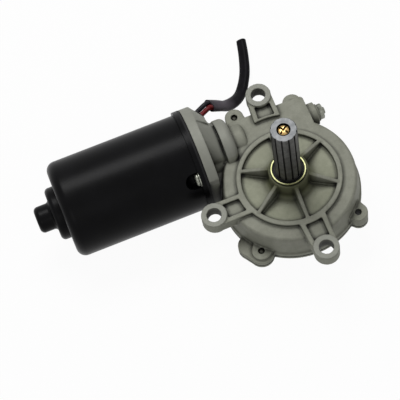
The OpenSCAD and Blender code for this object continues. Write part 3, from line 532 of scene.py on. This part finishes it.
def plain_metal(name, low, high, rough=0.28, hollow_shade=None):
    """Bare or plated metal with a fine grain. Hollow shade, where given, is painted shade in its
    hollows.
    """
    f = Finish(name, Metallic=1.0)
    fine = f.noise(0.5 * MM, 3, 0.6)
    blotch = f.noise(2.5 * MM, 2, 0.5)
    colour = f.blend((blotch * 0.6 + fine * 0.4).above(0.35, 0.65), low, high)
    # Painted shade in hollows, such as a screw's cross recess
    if hollow_shade:
        colour = f.painted_corner_shade(colour, hollow_shade, 1.5 * MM, 0.4, 0.92)
    return f.fed(Base_Color=colour, Roughness=rough + fine * 0.14,
                 Normal=f.bump(fine, 0.02 * MM, 0.35))


def matte(name, low, high, rough=0.6, gloss=0.3):
    """Rubber, plastic, card or carbon: an even colour with a fine moulded grain."""
    f = Finish(name, Specular_IOR_Level=gloss)
    fine = f.noise(0.7 * MM, 3, 0.55)
    blotch = f.noise(8 * MM, 2, 0.5)
    colour = f.blend((blotch * 0.7 + fine * 0.3).above(0.35, 0.65), low, high)
    return f.fed(Base_Color=colour, Roughness=rough + blotch * 0.1,
                 Normal=f.bump(fine, 0.03 * MM, 0.5))


def thin_tubing():
    """Thin black tubing, paler in its first bend, where a sheen is painted."""
    f = Finish("sleeve_skin", Specular_IOR_Level=0.05)
    fine = f.noise(0.7 * MM, 3, 0.55)
    blotch = f.noise(4 * MM, 3, 0.6)
    x = f.along("X")
    # Painted sheen: the sleeve's first stretch is made paler, as a lamp's sheen would make it
    painted_sheen = x.above(*SHEEN_FROM) * (1 - x.above(*SHEEN_TO)) * (0.6 + blotch * 0.7)
    colour = f.blend(blotch.above(0.35, 0.65), srgb(10, 9, 11), srgb(18, 16, 21))
    colour = f.blend(painted_sheen, colour, srgb(82, 76, 83))
    return f.fed(Base_Color=colour, Roughness=0.38 + blotch * 0.1,
                 Normal=f.bump(fine, 0.03 * MM, 0.5))


# The record's slots, then the finishes that one piece has for itself
FINISHES = {
    "cast_alloy": blasted_casting(),
    "can_paint": satin_paint(),
    "rubber_black": matte("rubber_black", srgb(14, 14, 15), srgb(26, 26, 27), 0.5, 0.15),
    "paper_gasket": matte("paper_gasket", srgb(34, 37, 34), srgb(46, 48, 44), 0.8),
    # Painted shade: the last colour given to bronze, bright_steel and yellow_zinc darkens their
    # hollows
    "bronze": plain_metal("bronze", srgb(136, 138, 88), srgb(190, 190, 148), 0.4,
                          srgb(90, 88, 60)),
    "shaft_steel": dark_steel(),
    "bright_steel": plain_metal("bright_steel", srgb(86, 88, 78), srgb(150, 152, 142), 0.26,
                                srgb(34, 35, 27)),
    "yellow_zinc": plain_metal("yellow_zinc", srgb(128, 94, 46), srgb(216, 188, 130), 0.22,
                               srgb(60, 42, 20)),
    "wheel_nylon": matte("wheel_nylon", srgb(222, 218, 200), srgb(236, 232, 216), 0.45),
    "lamination": plain_metal("lamination", srgb(92, 94, 98), srgb(122, 124, 128), 0.45),
    "copper": plain_metal("copper", srgb(168, 92, 46), srgb(206, 122, 66), 0.3),
    "ferrite": matte("ferrite", srgb(46, 46, 49), srgb(62, 62, 65), 0.7),
    "phenolic": matte("phenolic", srgb(78, 50, 28), srgb(102, 68, 40), 0.55),
    "carbon": matte("carbon", srgb(36, 36, 38), srgb(52, 52, 54), 0.65),
    "spring_steel": plain_metal("spring_steel", srgb(150, 152, 156), srgb(184, 186, 190), 0.25),
    "red_pvc": matte("red_pvc", srgb(88, 11, 15), srgb(114, 18, 23), 0.36, 0.2),
    "black_pvc": matte("black_pvc", srgb(12, 11, 14), srgb(22, 19, 26), 0.34, 0.17),
    "sleeve_skin": thin_tubing(),
    # Painted shade: the cover screws' steel is darker than bright_steel, so that their ends look
    # shaded down in the ear holes, and its hollows take painted shade too
    "shade_darkened_steel": plain_metal("shade_darkened_steel", srgb(40, 40, 36), srgb(66, 66, 60), 0.45,
                               srgb(30, 30, 26)),
}


def dress_nodes():
    """Every node of the construction takes the finish that its record slot names."""
    for part in frame["record"]["subparts"]:
        node = nodes[part["node"]]
        node.data.materials.clear()
        node.data.materials.append(FINISHES[part["material_slot"]])


# Camera, floor and light


def make_camera():
    """The camera with the photograph's place, turn and lens."""
    level = Vector((cos(CAMERA_AZIMUTH), sin(CAMERA_AZIMUTH), 0))
    back = Vector((sin(CAMERA_AZIMUTH) * cos(CAMERA_ELEVATION),
                   -cos(CAMERA_AZIMUTH) * cos(CAMERA_ELEVATION), sin(CAMERA_ELEVATION)))
    upright = back.cross(level)
    right = level * cos(CAMERA_ROLL) - upright * sin(CAMERA_ROLL)
    up = level * sin(CAMERA_ROLL) + upright * cos(CAMERA_ROLL)
    camera = bpy.data.objects.new("camera", bpy.data.cameras.new("camera"))
    bpy.context.scene.collection.objects.link(camera)
    turn = Matrix((right, up, back)).transposed().to_4x4()
    camera.matrix_world = Matrix.Translation(CAMERA_PLACE) @ turn
    camera.data.sensor_width = CAMERA_SENSOR_MM
    camera.data.lens = CAMERA_LENS_MM
    bpy.context.scene.camera = camera


def make_floor():
    """A pale floor that looks white and keeps the object's shadow."""
    form = bmesh.new()
    bmesh.ops.create_grid(form, x_segments=1, y_segments=1, size=FLOOR_HALF_WIDTH,
                          matrix=Matrix.Translation((0, 0, FLOOR_LEVEL)))
    floor = as_object("floor", form)
    f = Finish("floor_white", Base_Color=FLOOR_COLOUR, Roughness=0.9)
    glow = f.node("ShaderNodeEmission", {}, WHITE, 1.0)
    mixed = f.node("ShaderNodeMixShader", {}, f.backdrop_rays() * FLOOR_GLOW,
                   Value(f, f.shader.outputs[0]), glow)
    f.tree.links.new(mixed.socket, f.tree.nodes["Material Output"].inputs["Surface"])
    floor.data.materials.append(f.material)


def make_world():
    """Even soft light, behind which the camera sees plain white."""
    world = bpy.data.worlds.new("studio")
    bpy.context.scene.world = world
    world.use_nodes = True
    world.node_tree.nodes.clear()
    sky = Graph(world.node_tree)
    light = sky.node("ShaderNodeBackground", {}, WHITE, WORLD_LIGHT)
    white = sky.node("ShaderNodeBackground", {}, WHITE, 1.0)
    mixed = sky.node("ShaderNodeMixShader", {}, sky.backdrop_rays(), light, white)
    sky.node("ShaderNodeOutputWorld", {}, mixed)


def make_lamp(name, place, size, watts):
    """A soft rectangular lamp that aims at the object's middle."""
    light = bpy.data.lights.new(name, "AREA")
    light.shape = "RECTANGLE"
    light.size, light.size_y = size
    light.energy = watts
    made = bpy.data.objects.new(name, light)
    bpy.context.scene.collection.objects.link(made)
    turn = (Vector(place) - LAMP_AIM).to_track_quat("Z", "Y").to_matrix().to_4x4()
    made.matrix_world = Matrix.Translation(place) @ turn


# Cable


def swept(points, sizes, lump=2.0, sides=32, twist=0.0):
    """A flattened tube along points, open at both ends. Each size is its width and thickness.

    A lump of 2 gives an oval section, and more a squarer one. Twist is its turn by the end.
    """
    form = bmesh.new()
    last = len(points) - 1
    ring = bmesh.ops.create_circle(form, segments=sides, radius=1)["verts"]
    for v in ring:
        x, y = v.co.x, v.co.y
        v.co *= (abs(x) ** lump + abs(y) ** lump) ** (-1 / lump)
    shape = [v.co.copy() for v in ring]
    edges = form.edges[:]
    for i, (place, size) in enumerate(zip(points, sizes)):
        if i:
            grown = bmesh.ops.extrude_edge_only(form, edges=edges)["geom"]
            edges = [g for g in grown if isinstance(g, bmesh.types.BMEdge)]
            ring = [g for g in grown if isinstance(g, bmesh.types.BMVert)]
        ahead = points[min(i + 1, last)] - points[max(i - 1, 0)]
        share = min(max((i / last - TWIST_START) * TWIST_RATE, 0), 1)
        side = Matrix.Rotation(twist * share, 3, ahead) @ sideways(ahead)
        up = ahead.normalized().cross(side)
        for v, s in zip(ring, shape):
            v.co = place + side * (s.x * size[0] / 2) + up * (s.y * size[1] / 2)
    return form


def lead_start(sign, further=0.0):
    """Where a lead leaves the grommet, or a point further out on its line."""
    centre = sum(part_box("cable_grommet"), Vector()) / 2
    out = Vector((sin(GROMMET_SLOPE), cos(GROMMET_SLOPE), 0))
    beside = Vector((-cos(GROMMET_SLOPE), sin(GROMMET_SLOPE), 0))
    return centre + out * (GROMMET_REACH + further) + beside * (sign * LEAD_GAP / 2)


def make_lead(colour, sign, points):
    """A lead from the grommet through the sleeve, beside the other."""
    last = len(points) - 1
    ahead = (points[1] - points[0]).normalized()
    mouth = points[0] + sideways(ahead) * (sign * LEAD_GAP / 2)
    seen = smooth_curve([
        lead_start(sign, -IN_GROMMET), lead_start(sign), lead_start(sign, OUT_OF_GROMMET),
        mouth - ahead * BEFORE_MOUTH, mouth + ahead * PAST_MOUTH], LEAD_STEPS)
    inner = []
    for i in range(2, last):
        gap = LEAD_GAP + (LEAD_END_GAP - LEAD_GAP) * i / last
        beside = sideways((points[i + 1] - points[i - 1]).normalized())
        inner.append(points[i] + beside * (sign * gap / 2))
    inner[-1] = inner[-1] + (points[last] - points[last - 1]) * LEAD_STUB
    widths = [LEAD_DIAMETER] * len(seen)
    widths += [LEAD_DIAMETER + (LEAD_END_DIAMETER - LEAD_DIAMETER)
               * min(1, (i + LEAD_TAPER_EARLY) / len(inner)) for i in range(len(inner))]
    form = swept(seen + inner, [(w, w) for w in widths], sides=LEAD_SIDES)
    bmesh.ops.holes_fill(form, edges=[e for e in form.edges if e.is_boundary])
    bmesh.ops.recalc_face_normals(form, faces=form.faces)
    return piece(f"{colour}_wire", form, "gearbox", f"{colour}_pvc", f"{colour}_lead")


def make_cable():
    """The flattened sleeve, cut off square, with its two leads."""
    points = smooth_curve(SLEEVE_ROUTE, SLEEVE_STEPS)
    last = len(points) - 1
    sizes = [(SLEEVE_MOUTH_WIDTH + (SLEEVE_END_WIDTH - SLEEVE_MOUTH_WIDTH) * i / last,
              SLEEVE_THICKNESS) for i in range(last + 1)]
    form = swept(points, sizes, SLEEVE_LUMP, twist=SLEEVE_TWIST)
    bmesh.ops.solidify(form, geom=form.faces[:], thickness=SLEEVE_WALL)
    bmesh.ops.recalc_face_normals(form, faces=form.faces)
    sleeve = piece("cable_tube", form, "gearbox", "black_pvc", "cable_sleeve", "sleeve_skin")
    leads = [make_lead("red", -1, points), make_lead("black", 1, points)]
    length = sum((b - a).length for a, b in zip(points, points[1:]))


# Castings and shaft


def neck_fillet():
    """The slanting cone that blends the motor's flange into the neck, open round the armature."""
    low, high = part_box("motor_can")
    centre = Vector((0, (low.y + high.y) / 2, (low.z + high.z) / 2))
    length = NECK_END_X - NECK_START_X
    middle = centre + Vector((NECK_START_X + length / 2, 0, 0))
    along = Matrix.Translation(middle) @ Matrix.Rotation(pi / 2, 4, "Y")
    form = bmesh.new()
    bmesh.ops.create_cone(form, cap_ends=True, segments=NECK_SEGMENTS, radius1=NECK_FOOT_R,
                          radius2=NECK_TOP_R, depth=length, matrix=along)
    for v in form.verts:
        if v.co.x < NECK_START_X + length / 2:
            v.co.y = centre.y + NECK_FOOT_SHIFT + (v.co.y - centre.y) * NECK_FOOT_FLAT
    bore = bmesh.new()
    bmesh.ops.create_cone(bore, cap_ends=True, segments=NECK_BORE_SEGMENTS,
                          radius1=NECK_BORE_R, radius2=NECK_BORE_R, depth=length * 2,
                          matrix=along)
    web = placed(block(WEB_SIZE, (0, 0, -WEB_SIZE[2] / 2)), centre + WEB_PLACE, WEB_FACING)
    corner = block(CORNER_SIZE, centre + CORNER_PLACE)
    return joined([cut(form, bore), web, corner])


def make_castings():
    """The housing, with the neck's fillet, and the rear cover."""
    case = joined([copied("gear_housing"), neck_fillet()])
    for name, node, form in (("cast_case", "gear_housing", case),
                             ("cast_cover", "rear_cover", copied("rear_cover"))):
        piece(name, softened(form), "gearbox", "cast_alloy", node, crisp=pi)


def make_shaft():
    """The splined shaft with the plain disc that its turned end leaves above the grooves."""
    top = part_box("output_shaft")[1].z
    disc = turned([(r * MM, top + h * MM) for r, h in SHAFT_DISC], SHAFT_DISC_STEPS, closed=True)
    shaft = joined([copied("output_shaft"), disc])
    piece("splined_shaft", shaft, "output", "shaft_steel", "output_shaft")


# Screws and adjuster


def cross_screw(shank_length, head_r, head_h, shank_r, cross_length, cross_width):
    """A pan-head screw with a cross recess. Its head stands up from z = 0."""
    shank = [(0, -shank_length), (shank_r * POINT_NARROWER, -shank_length),
             (shank_r, -shank_length + POINT_LENGTH), (shank_r, 0)]
    head = [(head_r * r, head_h * h) for r, h in PAN_HEAD]
    wing = (head_r * cross_length * 2, head_r * cross_width * 2, head_h * CROSS_DEPTH * 2)
    wings = [block(wing, (0, 0, head_h), turn) for turn in (0, pi / 2)]
    return cut(turned(shank + head), *wings)


def make_screws():
    """The screw in the shaft's end, the can's two with washers, and the rear cover's three."""
    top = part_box("shaft_end_screw")[1].z
    screw = cross_screw(TIP_SCREW_LENGTH, **TIP_SCREW)
    placed(screw, (0, 0, top - TIP_SCREW_SEAT), twist=TIP_SCREW_TURN)
    piece("tip_screw", screw, "output", "yellow_zinc", "shaft_end_screw")

    low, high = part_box("can_screws")
    head_r = CAN_SCREW["head_r"]
    seat = low.x + CAN_SCREW["head_h"] + WASHER_THICKNESS
    bolts = []
    for place in ((low.y + head_r, high.z - head_r), (high.y - head_r, low.z + head_r)):
        screw = cross_screw(high.x - seat + WASHER_THICKNESS, **CAN_SCREW)
        washer = turned([(r * MM, h * MM) for r, h in WASHER], closed=True)
        bolts += [placed(screw, (seat - WASHER_THICKNESS, *place), (-1, 0, 0), CAN_SCREW_TURN),
                  placed(washer, (seat, *place), (-1, 0, 0))]
    piece("can_bolts", joined(bolts), "gearbox", "bright_steel", "can_screws")

    low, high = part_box("cover_screws")
    head_h = COVER_SCREW["head_h"]
    bolts = [placed(cross_screw(high.z - low.z - head_h, **COVER_SCREW),
                    (*place, low.z + head_h), (0, 0, -1)) for place in COVER_SCREW_PLACES]
    # The cover screws take the darker steel: painted shade for the ear holes that they sit in
    piece("cover_bolts", joined(bolts), "gearbox", "bright_steel", "cover_screws", "shade_darkened_steel")


def make_adjuster():
    """The slotted stud with its thread's ridges, and the chamfered nut that locks it."""
    low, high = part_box("adjusting_screw")
    y, z = (low.y + high.y) / 2, (low.z + high.z) / 2
    length, r = high.x - low.x, (high.y - low.y) / 2
    edge = [(0, 0), (r, 0), (r, length - THREAD_RIDGES * THREAD_PITCH)]
    for i in range(THREAD_RIDGES):
        foot = length - (THREAD_RIDGES - i) * THREAD_PITCH
        edge += [(r - THREAD_DEPTH, foot + THREAD_PITCH * THREAD_ROOT),
                 (r, foot + THREAD_PITCH * THREAD_CREST)]
    edge = edge[:-1] + [(r - STUD_CHAMFER, length), (0, length)]
    slot = block((STUD_SLOT_LENGTH * r, STUD_SLOT_WIDTH, 2 * STUD_SLOT_DEPTH), (0, 0, length),
                 STUD_SLOT_TURN)
    stud = placed(cut(turned(edge), slot), (low.x, y, z), (1, 0, 0))
    piece("adjuster_stud", stud, "gearbox", "bright_steel", "adjusting_screw")

    low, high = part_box("lock_nut")
    height = high.x - low.x
    corner = NUT_FLATS / 2 / cos(pi / 6)
    form = bmesh.new()
    bmesh.ops.create_cone(form, cap_ends=True, segments=6, radius1=corner, radius2=corner,
                          depth=height, matrix=Matrix.Translation((0, 0, height / 2)))
    rounded = turned([
        (0, 0), (corner - NUT_FOOT_CHAMFER, 0), (corner, NUT_CHAMFER_HEIGHT),
        (corner, height - NUT_CHAMFER_HEIGHT), (corner - NUT_TOP_CHAMFER, height), (0, height)])
    bore_r = r + NUT_SLACK
    bore = turned([(0, -MM), (bore_r, -MM), (bore_r, height + MM), (0, height + MM)])
    nut = cut(cut(form, rounded, operation="INTERSECT"), bore)
    piece("adjuster_nut", placed(nut, (low.x, y, z), (1, 0, 0)), "gearbox", "bright_steel",
          "lock_nut")


bpy.context.scene.view_settings.view_transform = "Standard"
make_camera()
make_cable()
dress_nodes()
make_castings()
make_shaft()
make_screws()
make_adjuster()
make_floor()
make_world()
for lamp, settings in LAMPS.items():
    make_lamp(lamp, *settings)
